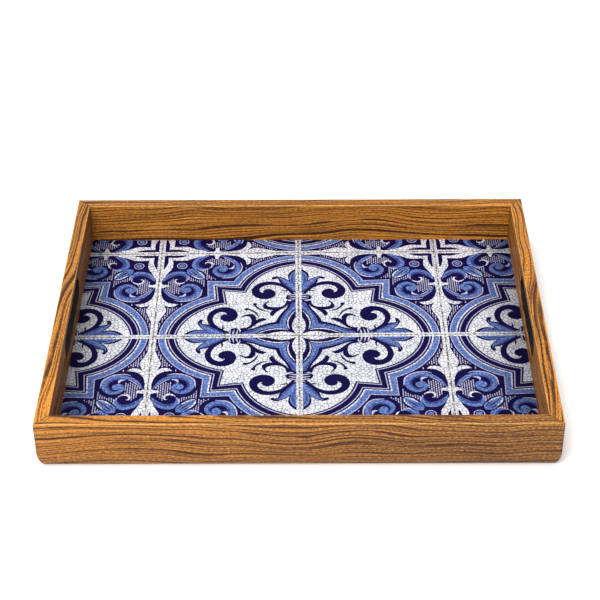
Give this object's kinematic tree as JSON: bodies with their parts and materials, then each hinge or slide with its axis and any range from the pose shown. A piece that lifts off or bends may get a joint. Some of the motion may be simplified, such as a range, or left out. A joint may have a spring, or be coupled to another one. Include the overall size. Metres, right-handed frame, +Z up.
{
  "type": "serving tray",
  "caption": "Rectangular serving tray with mitred wood-veneered rails, a hand hole through each short rail and a flat floor printed with blue and white tiles.",
  "frame": {"origin": "on the surface that the tray stands on, below the middle of the tray", "axes": "+X along the long rails, +Y from the front rail to the back rail, +Z up out of the tray"},
  "size_m": [0.4, 0.312, 0.0435],
  "materials": {
    "rail_veneer": "open-grained brown wood veneer with a satin lacquer",
    "rail_core": "raw fibreboard",
    "base_board": "raw hardboard",
    "tile_print": "printed blue and white tile pattern under a clear satin coat",
    "underside": "brown balancing paper with a matt lacquer",
    "hand_hole_edging": "matt black",
    "spline": "raw hardboard"
  },
  "bodies": {
    "root": {"front_rail_core": "rail_core", "back_rail_core": "rail_core", "left_rail_core": "rail_core", "right_rail_core": "rail_core", "front_rail_veneer": "rail_veneer", "back_rail_veneer": "rail_veneer", "left_rail_veneer": "rail_veneer", "right_rail_veneer": "rail_veneer", "base_board": "base_board", "tile_print_sheet": "tile_print", "underside_sheet": "underside", "left_hand_hole_edging": "hand_hole_edging", "right_hand_hole_edging": "hand_hole_edging", "front_left_spline": "spline", "front_right_spline": "spline", "back_left_spline": "spline", "back_right_spline": "spline"}
  },
  "joints": []
}
